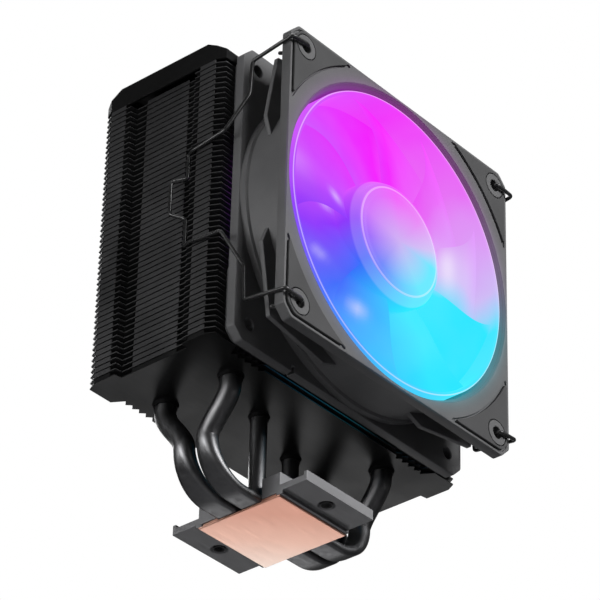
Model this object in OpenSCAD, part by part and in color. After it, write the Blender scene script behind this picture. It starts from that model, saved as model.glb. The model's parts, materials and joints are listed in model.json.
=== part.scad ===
// Tower heat sink for a processor, with one 120 mm fan held on by two wire clips.
// The origin is the centre of the copper contact face. X runs across the fins,
// the fan is on the -Y side and +Z points away from the processor.

/* [Fin stack] */
// Width of a fin across X
fin_w = 129; // [127:0.5:131]
// Depth of a fin along Y
fin_d = 56.8; // [56:0.2:57]
// Thickness of the fin sheet
fin_t = 0.4; // [0.3:0.05:0.5]
// Distance from one fin to the next
fin_pitch = 2.24; // [2.1:0.01:2.3]
// Number of fins
fin_count = 51; // [40:1:52]
// Height of the lowest fin above the contact face
fin_z = 37.4; // [36:0.1:40]

/* [Heat pipes] */
// Outer diameter of a round heat pipe
pipe_d = 7.6; // [7:0.1:8]
// Width of the pipe where it is pressed flat in the base
flat_w = 9.7; // [9:0.1:9.7]
// Height of the pipe where it is pressed flat in the base
flat_h = 3.6; // [3:0.1:4]
// Distance of the upright legs from the middle along X
leg_x = 39.6; // [38:0.1:41]
// Distance of the upright legs from the middle along Y
leg_y = 14.8; // [14:0.1:15.5]
// Radius of the bend between base and leg
bend_r = 15; // [13:0.5:16]
// Diameter of the centre branch of each pipe
branch_d = 6; // [5:0.1:6]
// Distance of the centre branches from the middle along X
branch_x = 13.95; // [12:0.05:15]

/* [Base] */
// Width of the copper plate along X
plate_w = 34.5; // [32:0.5:36]
// Depth of the copper plate along Y
plate_d = 36.3; // [35:0.1:38]
// Thickness of the copper under the pipes
plate_t = 0.6; // [0.5:0.1:1]
// Distance between the two screw holes in the arms
arm_hole_pitch = 48.1; // [46:0.1:50]
// Diameter of the screw holes in the arms
arm_hole_d = 4.2; // [3:0.1:4.5]
// Distance of the arm's outer edge from the middle
arm_reach = 30.1; // [29:0.1:32]

/* [Fan] */
// Side of the square fan
fan_size = 120; // [119:0.5:120]
// Depth of the fan frame
fan_depth = 25; // [25:0.5:26]
// Distance between the fan's screw holes
fan_hole_pitch = 105; // [105:0.1:105.2]
// Diameter of the fan's screw holes
fan_hole_d = 4.6; // [4.3:0.1:4.8]
// Height of the fan's axis above the contact face
fan_z = 96; // [94:0.5:98]
// Gap between the fan frame and the fins
fan_gap = 2.1; // [2:0.1:3]
// Number of blades
blade_count = 9; // [5:1:11]

/* [Wire clips] */
// Diameter of the spring wire
wire_d = 1.4; // [1:0.1:1.5]

/* [Top cover] */
// Height of the cover's top above the contact face
cover_top = 160; // [160:0.5:164]
// Wall of the cover
cover_wall = 1.2; // [1:0.1:2]

/* [Hidden] */
$fn = 72;

// fin outline
ear_x = 52.5;
ear_chamfer = 3.4;
ear_chamfer_x = 1.7;
waist_x = fin_w / 2 - 2.9;
waist_y = 15.2;
tooth_pitch = 3.35;
tooth_count = 4;
flat_half = 34.7;
tooth_tip_y = fin_d / 2 - 2.8;
tooth_root_y = fin_d / 2 - 4.5;
tab_h = 1.75;
mid_tab_y = 10;
corner_tab = [17.7, 24.7];
stack_top = fin_z + (fin_count - 1) * fin_pitch + tab_h;

// base
base_bottom = plate_t;
rail_in = 9.9;
rail_out = 16.5;
rail_top = 1.6;
channel = 10.12;
wall_y = 18.3;
step_y = 19.4;
arm_z = [1.9, 4.4];
lip_w = 1.5;
lip_top = 5.7;
block_top = 9.3;
bridge_x = 8;

// heat pipes
pipe_r = pipe_d / 2;
pipe_z = plate_t + flat_h / 2;
flat_y = flat_w / 2 + 0.05;
sway_end_z = fin_z - 3.2;
pipe_top = stack_top + 4.6;
collar_h = 1.5;

// top cover
cover_shoulder_y = 20.5;
cover_edge_z = cover_top - 4.6;

// fan
fan_back = -fin_d / 2 - fan_gap;
fan_front = fan_back - fan_depth;
front_flange_t = 4;
rear_flange_t = 3.6;
duct_in = 57.4;
duct_out = 58.8;
bezel_r = 59;
frame_chamfer = 4.1;
pad_inset = 1.6;
pad_arc_r = 65.2;
boss_r = 4.7;
pad_hole_r = 5;
front_pad_t = 0.6;
web_y = fan_back - 12.5;
web_t = 1.8;
strut_w = 4.5;
motor_base_r = 25;
tube_r = 4.6;
shaft_r = 1.5;
sleeve_r = 3;
yoke_r = 21;
magnet_r = 20.4;
hub_r = 24;
hub_face_r = 20.8;
hub_front = fan_front + 0.4;
hub_back = fan_back - 6.4;
yoke_front = hub_front + 2.4;
ring_r = [54.8, 56.4];
led_count = 12;
// each pair below is a value at the hub and at the ring
blade_chord = [42, 62];
blade_pitch = [17.5, 11.5];
blade_half_t = [1, 0.65];
blade_edge_t = 0.25;
blade_sweep = 30;
blade_camber = 0.05;
blade_stations = 8;
blade_y = hub_front + 7.6;
blade_root = 0.3;

// ---------------------------------------------------------------- shared shapes

// Turns a shape drawn in the XY plane to face the fan's front, extruded from y0 to y1.
module fan_slab(y0, y1) {
    translate([0, y1, fan_z])
        rotate([90, 0, 0])
            linear_extrude(y1 - y0)
                children();
}

// Puts a copy at each of the fan's four corners.
module four_corners(pitch) {
    for (sx = [-1, 1], sy = [-1, 1])
        translate([sx * pitch / 2, sy * pitch / 2])
            children();
}

function unit(v) = v / norm(v);
function ease(t) = let (c = min(max(t, 0), 1)) c * c * (3 - 2 * c);
function reversed(list) = [for (i = [len(list) - 1:-1:0]) list[i]];

// Faces between rings of n points each, as triangles.
function skin_faces(rings, n) = [
    for (i = [0:rings - 2], j = [0:n - 1])
        let (a = i * n + j, b = i * n + (j + 1) % n)
        each [[a, a + n, b + n], [a, b + n, b]]];

// The same with a flat cap on each end.
function tube_faces(rings, n) = concat(
    [[for (j = [0:n - 1]) j]],
    skin_faces(rings, n),
    [[for (j = [n - 1:-1:0]) (rings - 1) * n + j]]);

// ---------------------------------------------------------------- base

// Slab with its four lower edges cut off at 45 degrees.
module bevelled_slab(w, d, h, bevel) {
    intersection() {
        rotate([90, 0, 0])
            linear_extrude(d, center = true)
                bevelled_side(w, h, bevel);
        rotate([90, 0, 90])
            linear_extrude(w, center = true)
                bevelled_side(d, h, bevel);
    }
}

module bevelled_side(w, h, bevel) {
    polygon([[-w / 2 + bevel, 0], [w / 2 - bevel, 0], [w / 2, bevel],
        [w / 2, h], [-w / 2, h], [-w / 2, bevel]]);
}

module copper_base_plate() color("peru") {
    bevelled_slab(plate_w, plate_d, plate_t, 0.3);
    for (s = [-1, 1])
        translate([0, s * (rail_in + rail_out) / 2, plate_t])
            translate([0, 0, (rail_top - plate_t) / 2])
                cube([plate_w - 1, rail_out - rail_in, rail_top - plate_t], center = true);
}

// One side of the base block, seen along X: wall, step, arm and raised lip.
module block_side() {
    polygon([[channel, rail_top], [rail_out + 0.1, rail_top], [rail_out + 0.1, base_bottom],
        [step_y, base_bottom], [step_y, arm_z[0]], [arm_reach, arm_z[0]],
        [arm_reach, lip_top], [arm_reach - lip_w, lip_top], [arm_reach - lip_w, arm_z[1]],
        [wall_y, arm_z[1]], [wall_y, block_top], [channel, block_top]]);
}

module base_block() color("slategray") difference() {
    union() {
        for (s = [0, 1])
            mirror([0, s, 0])
                rotate([90, 0, 90])
                    linear_extrude(plate_w + 0.04, center = true)
                        block_side();
        translate([-bridge_x, -channel - 1, pipe_z + flat_h / 2 + 0.1])
            cube([2 * bridge_x, 2 * channel + 2, block_top - pipe_z - flat_h / 2 - 0.1]);
    }
    for (s = [-1, 1])
        translate([0, s * arm_hole_pitch / 2, 0]) {
            cylinder(d = arm_hole_d, h = block_top);
            translate([0, 0, arm_z[0] - 0.01])
                cylinder(d1 = arm_hole_d + 2, d2 = arm_hole_d, h = 1);
        }
}

// ---------------------------------------------------------------- heat pipes

// Lengths along half a pipe: start of the bend, end of the bend.
bend_start = leg_x - bend_r;
bend_end = bend_start + bend_r * PI / 2;

// Centre of the pipe at length s from the middle of the base.
function pipe_point(s) =
    let (a = min(max((s - bend_start) / bend_r, 0), PI / 2) * 180 / PI,
        up = max(s - bend_end, 0),
        sway_len = sway_end_z - pipe_z - bend_r)
    [s < bend_start ? s : bend_start + bend_r * sin(a),
        flat_y + (leg_y - flat_y) * ease((up + 2) / (sway_len + 2)),
        pipe_z + bend_r * (1 - cos(a)) + up];

// Direction that points out of the bend, across the pipe.
function pipe_out(s) =
    let (a = min(max((s - bend_start) / bend_r, 0), PI / 2) * 180 / PI)
    [-sin(a), 0, cos(a)];

// Half width and half height of the pipe at length s.
function pipe_half(s) =
    let (k = ease((s - bend_start - 5) / (bend_end - bend_start - 2)))
    [flat_w / 2 + (pipe_r - flat_w / 2) * k, flat_h / 2 + (pipe_r - 0.02 - flat_h / 2) * k];

pipe_sides = 9;
// Ring of points round the pipe: two half circles joined by flats.
function pipe_ring(s, shrink = 1) =
    let (p = pipe_point(s),
        along = unit(pipe_point(s + 0.05) - pipe_point(s - 0.05)),
        side = unit(cross(pipe_out(s), along)),
        out = cross(along, side),
        h = pipe_half(s) * shrink)
    [for (half = [0, 1], j = [0:pipe_sides])
        let (t = -90 + half * 180 + j * 180 / pipe_sides,
            shift = (half == 0 ? 1 : -1) * (h[0] - h[1]))
        p + side * (shift + h[1] * cos(t)) + out * h[1] * sin(t)];

leg_length = bend_end + pipe_top - pipe_z - bend_r;
// Where the rings stand on half a pipe, as [length, size], up to the closed tip.
pipe_rings = concat(
    [[0, 1], [bend_start - 4, 1]],
    [for (i = [0:14]) [bend_start + i * (bend_end - bend_start) / 14, 1]],
    [for (i = [1:14]) [bend_end + i * (sway_end_z - pipe_z - bend_r) / 14, 1]],
    [[leg_length - 6, 1], [leg_length - 4, 0.9], [leg_length - 2, 0.65], [leg_length, 0.3]]);

module heat_pipe(s) {
    half = [for (r = pipe_rings) pipe_ring(r[0], r[1])];
    other = [for (r = reversed([for (i = [1:len(half) - 1]) half[i]]))
        [for (p = r) [-p[0], p[1], p[2]]]];
    rings = concat(other, half);
    n = len(rings[0]);
    mirror([0, s < 0 ? 1 : 0, 0])
        polyhedron([for (r = rings) each r], tube_faces(len(rings), n));
}

module heat_pipe_front() color("dimgray") heat_pipe(-1);
module heat_pipe_rear() color("dimgray") heat_pipe(1);

// Upright branch in the middle of a pipe, brazed on the flat of the pipe.
module centre_branch(s) {
    z0 = pipe_z + flat_h / 2;
    tip = 3;
    translate([s * branch_x, s * flat_y, z0]) {
        cylinder(d = branch_d, h = pipe_top - z0 - tip);
        translate([0, 0, pipe_top - z0 - tip])
            cylinder(d1 = branch_d, d2 = branch_d * 0.4, h = tip);
    }
}

module centre_branch_front() color("dimgray") centre_branch(-1);
module centre_branch_rear() color("dimgray") centre_branch(1);

// ---------------------------------------------------------------- fins

// Quarter of the fin's outline, from the middle of the front edge to the side.
function quarter_outline() = concat(
    [for (i = [0:tooth_count]) each [
        [flat_half + i * tooth_pitch, -tooth_tip_y],
        [flat_half + (i + 0.5) * tooth_pitch, -tooth_root_y]]],
    [[ear_x, -fin_d / 2], [fin_w / 2 - ear_chamfer_x, -fin_d / 2],
        [fin_w / 2, -fin_d / 2 + ear_chamfer], [fin_w / 2, -waist_y],
        [waist_x, -waist_y + 0.5]]);

function flipped(list, sx, sy) = [for (p = list) [sx * p[0], sy * p[1]]];

function fin_outline() =
    let (q = quarter_outline(), back = reversed(q))
    concat(q, flipped(back, 1, -1), flipped(q, -1, -1), flipped(back, -1, 1));

// Drills the holes for the six uprights.
module upright_holes(extra) {
    for (sx = [-1, 1], sy = [-1, 1])
        translate([sx * leg_x, sy * leg_y])
            circle(r = pipe_r + extra);
    for (s = [-1, 1])
        translate([s * branch_x, s * flat_y])
            circle(d = branch_d + 2 * extra);
}

// One stamped fin with its side tabs folded up.
module fin(z) {
    translate([0, 0, z]) {
        linear_extrude(fin_t)
            difference() {
                polygon(fin_outline());
                upright_holes(0.05);
            }
        for (s = [-1, 1]) {
            translate([s * (waist_x - fin_t / 2), 0, tab_h / 2])
                cube([fin_t, 2 * mid_tab_y, tab_h], center = true);
            for (e = [-1, 1])
                translate([s * (fin_w - fin_t) / 2, e * (corner_tab[0] + corner_tab[1]) / 2, tab_h / 2])
                    cube([fin_t, corner_tab[1] - corner_tab[0], tab_h], center = true);
        }
    }
}

module bottom_fin() color("#2b2b2e") fin(fin_z);

module fin_stack() color("#35353a")
    for (i = [1:fin_count - 2])
        fin(fin_z + i * fin_pitch);

module top_fin() color("#35353a") fin(fin_z + (fin_count - 1) * fin_pitch);

// Thin rims round the uprights, drawn down from the lowest fin.
module pipe_collars() color("#202022")
    translate([0, 0, fin_z - collar_h])
        linear_extrude(collar_h)
            difference() {
                upright_holes(0.5);
                upright_holes(0.05);
            }

// ---------------------------------------------------------------- top cover

// Outline of the cover from above, inset by the given amount.
module cover_plan(inset) {
    w = fin_w / 2 - inset;
    d = fin_d / 2 - inset;
    polygon([for (s = [[1, -1], [1, 1], [-1, 1], [-1, -1]])
        let (a = [s[0] * (w - ear_chamfer_x), s[1] * d],
            b = [s[0] * w, s[1] * (d - ear_chamfer)])
        each (s[0] * s[1] < 0 ? [a, b] : [b, a])]);
}

// Side view of the cover along X: flat top between two sloped shoulders.
module cover_side(inset) {
    y = fin_d / 2 - inset;
    polygon([[-y, stack_top], [y, stack_top], [y, cover_edge_z - inset * 0.6],
        [cover_shoulder_y - inset * 0.3, cover_top - inset],
        [-cover_shoulder_y + inset * 0.3, cover_top - inset], [-y, cover_edge_z - inset * 0.6]]);
}

module cover_body(inset) {
    intersection() {
        translate([0, 0, stack_top - (inset > 0 ? 1 : 0)])
            linear_extrude(cover_top)
                cover_plan(inset);
        rotate([90, 0, 90])
            linear_extrude(fin_w, center = true)
                cover_side(inset);
    }
}

module top_cover() color("#101012") difference() {
    cover_body(0);
    intersection() {
        cover_body(cover_wall);
        translate([-fin_w, -fin_d, stack_top - 1])
            cube([2 * fin_w, 2 * fin_d, cover_top]);
    }
}

// ---------------------------------------------------------------- fan frame

// Square with its corners cut off.
module chamfered_square(size, cut) {
    h = size / 2;
    c = h - cut;
    polygon([[c, -h], [h, -c], [h, c], [c, h], [-c, h], [-h, c], [-h, -c], [-c, -h]]);
}

module flange_plan() {
    difference() {
        chamfered_square(fan_size, frame_chamfer);
        circle(r = duct_in);
        four_corners(fan_hole_pitch)
            circle(d = fan_hole_d);
    }
}

// Plate between the flanges that braces one corner against the duct.
module corner_web() {
    difference() {
        polygon([[28, 58], [53.4, 53.4], [58, 28], [30, 30]]);
        circle(r = duct_out - 0.4);
    }
}

module fan_frame() color("#5d5d61") {
    difference() {
        union() {
            fan_slab(fan_front, fan_front + front_flange_t) flange_plan();
            fan_slab(fan_back - rear_flange_t, fan_back) flange_plan();
            fan_slab(fan_front, fan_back)
                difference() {
                    circle(r = duct_out);
                    circle(r = duct_in);
                }
            fan_slab(fan_back - rear_flange_t - 2, fan_back - rear_flange_t)
                difference() {
                    circle(r = duct_out + 1);
                    circle(r = duct_in);
                }
            for (sx = [0, 1], sz = [0, 1])
                fan_slab(web_y - web_t / 2, web_y + web_t / 2)
                    mirror([sx, 0]) mirror([0, sz]) corner_web();
            fan_slab(fan_front - front_pad_t - 0.1, fan_front)
                four_corners(fan_hole_pitch)
                    difference() {
                        circle(r = boss_r);
                        circle(d = fan_hole_d);
                    }
            fan_slab(fan_back - rear_flange_t, fan_back) struts();
            fan_slab(fan_back - rear_flange_t, fan_back)
                difference() {
                    circle(r = motor_base_r);
                    circle(r = sleeve_r);
                }
            fan_slab(fan_back - 17, fan_back - rear_flange_t)
                difference() {
                    circle(r = tube_r);
                    circle(r = sleeve_r);
                }
        }
        translate([0, fan_front - 0.01, fan_z])
            rotate([-90, 0, 0])
                cylinder(r1 = bezel_r, r2 = duct_in, h = 1.8);
        // notch for a lead in the lower edge of the rear flange
        translate([-30, fan_back - rear_flange_t / 2, fan_z - fan_size / 2])
            cube([1.4, rear_flange_t + 1, 5], center = true);
    }
}

module struts() {
    for (a = [45:90:315])
        rotate(a)
            translate([motor_base_r - 1, -strut_w / 2])
                square([duct_in - motor_base_r + 1.5, strut_w]);
}

// Outline of one corner pad: inset from the frame, hollow towards the duct.
module pad_plan() {
    difference() {
        chamfered_square(fan_size - 2 * pad_inset, frame_chamfer - 0.6);
        circle(r = pad_arc_r);
        four_corners(fan_hole_pitch)
            circle(r = pad_hole_r);
    }
}

module front_corner_pads() color("#4a4a4e")
    fan_slab(fan_front - front_pad_t, fan_front) pad_plan();

module rear_corner_pads() color("#3a3a3d")
    fan_slab(fan_back, fan_back + fan_gap - 0.05) pad_plan();

// ---------------------------------------------------------------- fan motor

module annulus(r_out, r_in) {
    difference() {
        circle(r = r_out);
        circle(r = r_in);
    }
}

module bearing_sleeve() color("goldenrod")
    fan_slab(fan_back - 17, fan_back - 2.9) annulus(sleeve_r, shaft_r + 0.03);

module bearing_end_plug() color("#222222")
    fan_slab(fan_back - 0.8, fan_back) circle(r = sleeve_r);

module stator_core() color("silver")
    fan_slab(fan_back - 14, fan_back - 8) {
        annulus(8, tube_r);
        for (a = [0:90:270]) {
            rotate(a) translate([7.5, -1.75]) square([9, 3.5]);
            rotate(a) intersection() {
                annulus(17.8, 16);
                polygon([[0, 0], [30, -22], [30, 22]]);
            }
        }
    }

// A winding round each of the four teeth of the core.
module stator_coils() color("darkorange")
    for (a = [0:90:270])
        difference() {
            fan_slab(fan_back - 16, fan_back - 6.4)
                rotate(a) translate([12.2, 0]) square([6.4, 9], center = true);
            fan_slab(fan_back - 14.05, fan_back - 7.95)
                rotate(a) translate([12.2, 0]) square([7, 3.6], center = true);
        }

module motor_board() color("darkgreen")
    fan_slab(fan_back - 5.8, fan_back - 4.6) annulus(18, tube_r + 0.1);

module led_ring_board() color("ivory")
    fan_slab(fan_back - rear_flange_t - 1, fan_back - rear_flange_t) annulus(24.4, 20.2);

module leds() color("white")
    for (i = [0:led_count - 1])
        fan_slab(fan_back - rear_flange_t - 1.8, fan_back - rear_flange_t - 1)
            rotate(i * 360 / led_count)
                translate([22.3, 0])
                    square([2.2, 2.2], center = true);

module motor_label() color("#77777a")
    fan_slab(fan_back, fan_back + 0.15) annulus(21, 4);

// ---------------------------------------------------------------- rotor

module rotor_shaft() color("lightgray") difference() {
    fan_slab(yoke_front, fan_back - 1.7) circle(r = shaft_r);
    fan_slab(fan_back - 2.7, fan_back - 2.2) annulus(shaft_r + 1, shaft_r - 0.3);
}

module shaft_clip() color("#c0c0c4")
    fan_slab(fan_back - 2.65, fan_back - 2.25)
        difference() {
            annulus(2.2, shaft_r - 0.25);
            translate([0, -2.5]) square([1.6, 4], center = true);
        }

module rotor_yoke() color("gainsboro") {
    fan_slab(yoke_front, yoke_front + 0.8) annulus(yoke_r, shaft_r);
    fan_slab(yoke_front + 0.8, hub_back + 0.6) annulus(yoke_r, magnet_r);
}

module magnet_ring() color("#2a2622")
    fan_slab(yoke_front + 3, hub_back + 0.2) annulus(magnet_r, magnet_r - 2);

// Cup of the impeller, with a sloped front shoulder.
module impeller_hub() color("#d9c8e8")
    translate([0, 0, fan_z])
        rotate([-90, 0, 0])
            rotate_extrude()
                polygon([[hub_face_r - 2.2, hub_front + 0.9], [hub_face_r, hub_front + 0.9],
                    [hub_face_r, hub_front + 0.5], [hub_r - 0.8, hub_front + 3.2],
                    [hub_r, hub_front + 5], [hub_r, hub_back], [yoke_r + 0.02, hub_back],
                    [yoke_r + 0.02, yoke_front - 0.02], [hub_face_r - 2.2, yoke_front - 0.02]]);

module hub_cap() color("#efe3f4")
    translate([0, 0, fan_z])
        rotate([-90, 0, 0])
            rotate_extrude()
                polygon([[0, hub_front], [hub_face_r - 0.9, hub_front],
                    [hub_face_r - 0.05, hub_front + 0.45], [hub_face_r - 0.05, hub_front + 0.9],
                    [hub_face_r - 2.25, hub_front + 0.9], [hub_face_r - 2.25, hub_front + 1.6],
                    [0, hub_front + 1.6]]);

module impeller_ring() color("#f2d9ff")
    fan_slab(hub_front + 0.2, hub_front + 14) annulus(ring_r[1], ring_r[0]);

function between(pair, t) = pair[0] + (pair[1] - pair[0]) * t;

// A point of a blade: share of the span, place along the chord from -0.5 to 0.5, side.
function blade_point(span, along, side) =
    let (r = between([hub_r - blade_root, ring_r[0] + blade_root], span),
        chord = between(blade_chord, span),
        pitch = between(blade_pitch, span),
        camber = chord * blade_camber * (1 - 4 * along * along),
        bulge = 1 - pow(abs(2 * along), 3),
        half_t = blade_edge_t + (between(blade_half_t, span) - blade_edge_t) * bulge,
        across = along * chord * cos(pitch) - camber * sin(pitch),
        depth = along * chord * sin(pitch) + camber * cos(pitch),
        angle = across / r * 180 / PI - blade_sweep * span * span)
    [r * sin(angle), blade_y + depth + side * half_t, r * cos(angle)];

// Faces of one blade end, from its leading to its trailing edge.
function blade_end(first, n, flip) = [
    for (j = [0:n - 2])
        let (a = first + j, b = a + 1, d = first + 2 * n - 1 - j, c = d - 1)
        each (flip ? [[a, c, b], [a, d, c]] : [[a, b, c], [a, c, d]])];

module blade() {
    n = blade_stations;
    points = [for (i = [0:n - 1]) each concat(
        [for (j = [0:n - 1]) blade_point(i / (n - 1), j / (n - 1) - 0.5, -1)],
        [for (j = [n - 1:-1:0]) blade_point(i / (n - 1), j / (n - 1) - 0.5, 1)])];
    polyhedron(points, concat(skin_faces(n, 2 * n), blade_end(0, n, false),
        blade_end((n - 1) * 2 * n, n, true)));
}

module impeller_blades() color("#c86bff")
    for (i = [0:blade_count - 1])
        translate([0, 0, fan_z])
            rotate([0, i * 360 / blade_count, 0])
                blade();

// ---------------------------------------------------------------- wire clips

// Corners of the left clip's wire: across, along and above the fan's axis.
hook_x = fan_hole_pitch / 2;
clip_front_y = fan_front - 1.8;
clip_side_x = fan_size / 2 + 1.2;
clip_ear_x = fin_w / 2 + 1.1;
clip_groove = [-64.3, -14];
clip_tab = [-67.2, -9];
// heights at which the wire crosses the fins, midway between two of them
cross_top = fin_z + 34 * fin_pitch + (fin_t + fin_pitch) / 2 - fan_z;
cross_low = fin_z + 17 * fin_pitch + (fin_t + fin_pitch) / 2 - fan_z;
clip_bend = 1.3;
clip_bend_steps = 4;

// Corners from a hook to the ear of the fins; s is 1 above the fan's axis and -1 below.
function clip_arm(s, cross_z) = [
    [-hook_x - 3.3, fan_front + 8.7, s * (hook_x - 0.1)],
    [-hook_x, fan_front + 5.1, s * (hook_x + 0.3)],
    [-hook_x, clip_front_y, s * hook_x],
    [-clip_side_x, clip_front_y, s * (hook_x - 0.6)],
    [-clip_side_x, -39.2, s * 49.4],
    [-clip_side_x, -38.5, s * 35.5],
    [-clip_ear_x, -31.5, s * 20.8],
    [-clip_ear_x, -16.8, cross_z],
    [clip_groove[0], clip_groove[1], cross_z]];

clip_corners = concat(
    clip_arm(1, cross_top),
    [[clip_groove[0], clip_groove[1], 8.8], [clip_tab[0], clip_tab[1], 8],
        [clip_tab[0], clip_tab[1], -5.2], [clip_groove[0], clip_groove[1], -7.6]],
    reversed(clip_arm(-1, cross_low)));

// The corners with each one bent on a curve.
function bent(corners) = concat(
    [corners[0]],
    [for (i = [1:len(corners) - 2])
        let (c = corners[i],
            to_a = corners[i - 1] - c,
            to_b = corners[i + 1] - c,
            a = c + unit(to_a) * min(clip_bend, norm(to_a) * 0.45),
            b = c + unit(to_b) * min(clip_bend, norm(to_b) * 0.45))
        each [for (k = [0:clip_bend_steps])
            let (t = k / clip_bend_steps)
            (1 - t) * (1 - t) * a + 2 * t * (1 - t) * c + t * t * b]],
    [corners[len(corners) - 1]]);

clip_sides = 8;

// Directions across the wire, carried along the route without twist.
function wire_sides(route) =
    let (n = len(route),
        along = [for (i = [0:n - 1]) unit(route[min(i + 1, n - 1)] - route[max(i - 1, 0)])])
    [for (i = 0, v = unit(cross(along[0], [0, 0, 1])); i < n;
        i = i + 1, v = i < n ? unit(v - along[i] * (v * along[i])) : v) [along[i], v]];

module wire(route, d, n) {
    frames = wire_sides(route);
    points = [for (i = [0:len(route) - 1], j = [0:n - 1])
        let (v = frames[i][1], w = cross(frames[i][0], v))
        route[i] + d / 2 * (v * cos(j * 360 / n) + w * sin(j * 360 / n))];
    polyhedron(points, tube_faces(len(route), n));
}

module wire_clip() {
    translate([0, 0, fan_z])
        wire(bent(clip_corners), wire_d, clip_sides);
}

module wire_clip_left() color("#1c1c1e") wire_clip();
module wire_clip_right() color("#1c1c1e") mirror([1, 0, 0]) wire_clip();

// ---------------------------------------------------------------- nodes

copper_base_plate();
base_block();
heat_pipe_front();
heat_pipe_rear();
centre_branch_front();
centre_branch_rear();
bottom_fin();
fin_stack();
top_fin();
pipe_collars();
top_cover();
fan_frame();
front_corner_pads();
rear_corner_pads();
bearing_sleeve();
bearing_end_plug();
stator_core();
stator_coils();
motor_board();
led_ring_board();
leds();
motor_label();
rotor_shaft();
shaft_clip();
rotor_yoke();
magnet_ring();
impeller_hub();
hub_cap();
impeller_blades();
impeller_ring();
wire_clip_left();
wire_clip_right();
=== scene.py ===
import json
import math

import bpy
from mathutils import Matrix, Vector


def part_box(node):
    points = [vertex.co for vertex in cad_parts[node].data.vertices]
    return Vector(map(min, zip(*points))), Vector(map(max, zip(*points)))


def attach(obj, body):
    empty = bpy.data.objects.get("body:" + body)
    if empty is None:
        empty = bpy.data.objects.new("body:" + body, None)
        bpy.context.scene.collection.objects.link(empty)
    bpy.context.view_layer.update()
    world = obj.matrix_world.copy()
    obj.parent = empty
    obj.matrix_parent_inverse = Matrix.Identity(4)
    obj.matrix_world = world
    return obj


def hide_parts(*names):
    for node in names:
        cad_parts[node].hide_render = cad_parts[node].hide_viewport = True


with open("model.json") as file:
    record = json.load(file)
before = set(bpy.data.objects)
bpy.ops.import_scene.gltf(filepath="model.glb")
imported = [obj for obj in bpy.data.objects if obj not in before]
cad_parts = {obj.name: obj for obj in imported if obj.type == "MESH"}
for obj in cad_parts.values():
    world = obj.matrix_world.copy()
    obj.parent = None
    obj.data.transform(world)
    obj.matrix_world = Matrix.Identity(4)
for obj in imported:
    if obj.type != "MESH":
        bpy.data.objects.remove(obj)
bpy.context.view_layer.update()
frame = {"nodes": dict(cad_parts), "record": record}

MM = 0.001

# ---------------------------------------------------------------- places, in millimetres

NODES = frame["nodes"]


def box_mm(node):
    low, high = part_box(node)
    return low / MM, high / MM


FAN_LOW, FAN_HIGH = box_mm("fan_frame")
FAN_HALF = FAN_HIGH.x
FAN_Z = (FAN_LOW.z + FAN_HIGH.z) / 2
FRONT = box_mm("front_corner_pads")[1].y
PAD_FRONT = box_mm("front_corner_pads")[0].y
BACK = FAN_HIGH.y
PAD_BACK = box_mm("rear_corner_pads")[1].y
HOLE = 52.5
HOLE_R = 2.3
DUCT_IN, DUCT_OUT, BEZEL_R = 57.4, 58.8, 59.0
HUB_LOW, HUB_HIGH = box_mm("impeller_hub")
HUB_R = HUB_HIGH.x
RING_LOW, RING_HIGH = box_mm("impeller_ring")
RING_R = RING_HIGH.x
FIN_LOW, FIN_HIGH = box_mm("bottom_fin")


# ---------------------------------------------------------------- mesh building

class Shape:
    """Closed shells in millimetres, collected into one mesh."""

    def __init__(self):
        self.verts, self.faces, self.slots = [], [], []

    def add(self, made, slot=0):
        verts, faces = made
        first = len(self.verts)
        self.verts += [Vector(v) for v in verts]
        self.faces += [[first + i for i in f] for f in faces]
        self.slots += [slot] * len(faces)
        return self

    def mesh(self, name, sharp):
        mesh = bpy.data.meshes.new(name)
        mesh.from_pydata([v * MM for v in self.verts], [], self.faces)
        mesh.polygons.foreach_set("material_index", self.slots)
        mesh.polygons.foreach_set("use_smooth", [True] * len(self.faces))
        mesh.validate()
        mesh.set_sharp_from_angle(angle=math.radians(sharp))
        return mesh


def piece(name, shape, body, materials, stands_for=(), sharp=35):
    """Makes one object of the model from a shape and hangs it on its body."""
    obj = bpy.data.objects.new(name, shape.mesh(name, sharp))
    bpy.context.scene.collection.objects.link(obj)
    for m in materials:
        obj.data.materials.append(m)
    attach(obj, body)
    if stands_for:
        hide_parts(*stands_for)
    return obj


def moved(made, matrix):
    verts, faces = made
    return [matrix @ Vector(v) for v in verts], faces


def fan_matrix(y=0.0):
    """Turns the XY plane to the fan's plane: X stays, Y points up, Z points to the front."""
    return Matrix.Translation((0, y, FAN_Z)) @ Matrix.Rotation(math.pi / 2, 4, "X")


def lathe(profile, segments=144, closed=True):
    """Turns a profile of (radius, height) points round Z."""
    count = len(profile)
    verts = [
        (r * math.cos(a), r * math.sin(a), h)
        for a in (2 * math.pi * k / segments for k in range(segments))
        for r, h in profile
    ]
    spans = count if closed else count - 1
    faces = [
        [
            k * count + i,
            ((k + 1) % segments) * count + i,
            ((k + 1) % segments) * count + (i + 1) % count,
            k * count + (i + 1) % count,
        ]
        for k in range(segments)
        for i in range(spans)
    ]
    if not closed:
        faces.append([k * count + count - 1 for k in range(segments)])
        faces.append([k * count for k in reversed(range(segments))])
    return verts, faces


def fan_lathe(profile, segments=144):
    """Turns a profile of (radius, y) points round the fan's axis; the profile is closed."""
    return moved(lathe([(r, -y) for r, y in profile], segments), fan_matrix())


def tube(rings):
    """Closes a list of equal rings of points into a tube with two capped ends."""
    n = len(rings[0])
    faces = [
        [i * n + j, i * n + (j + 1) % n, (i + 1) * n + (j + 1) % n, (i + 1) * n + j]
        for i in range(len(rings) - 1)
        for j in range(n)
    ]
    faces.append(list(reversed(range(n))))
    faces.append([(len(rings) - 1) * n + j for j in range(n)])
    return [p for ring in rings for p in ring], faces


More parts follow.
